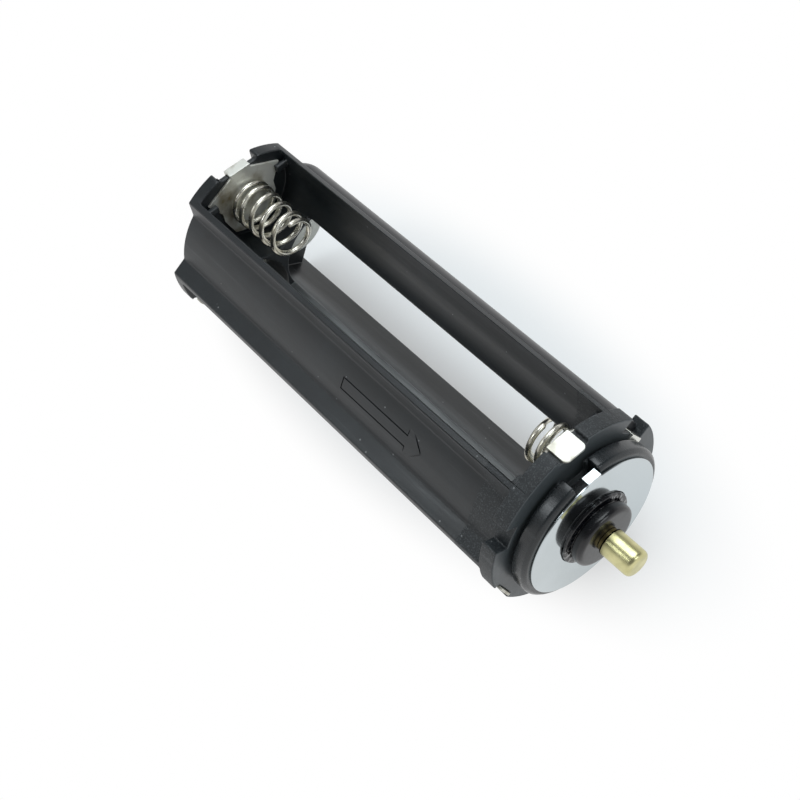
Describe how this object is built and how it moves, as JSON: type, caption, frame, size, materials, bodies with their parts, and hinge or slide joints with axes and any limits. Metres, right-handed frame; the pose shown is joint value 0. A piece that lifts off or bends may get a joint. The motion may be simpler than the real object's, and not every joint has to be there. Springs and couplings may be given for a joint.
{
  "type": "cylindrical cell holder",
  "caption": "Black moulded cylindrical holder for small round cells with open bays, coil spring contacts, a front contact disc and a brass pin",
  "frame": {"origin": "centre of the rear face, on the long axis", "axes": "+X along the long axis from the rear face to the contact pin, +Z the way the first bay opens, +Y to the side of the return strap"},
  "size_m": [0.0611, 0.0214, 0.0213],
  "materials": {
    "body": "satin moulded",
    "contacts": "nickel plated",
    "springs": "nickel plated wire",
    "strap": "nickel plated",
    "cover": "satin",
    "disc": "bright nickel",
    "bush": "gloss",
    "pin": "satin turned"
  },
  "bodies": {
    "root": {"body": "body", "rear_contact_a": "contacts", "rear_contact_bc": "contacts", "front_contact_ac": "contacts", "front_contact_b": "contacts", "spring_rear_a": "springs", "spring_rear_b": "springs", "spring_front_c": "springs", "spring_front_a": "springs", "spring_front_b": "springs", "strap": "strap", "strap_cover": "cover", "contact_disc": "disc", "bush": "bush", "pin": "pin"}
  },
  "joints": []
}
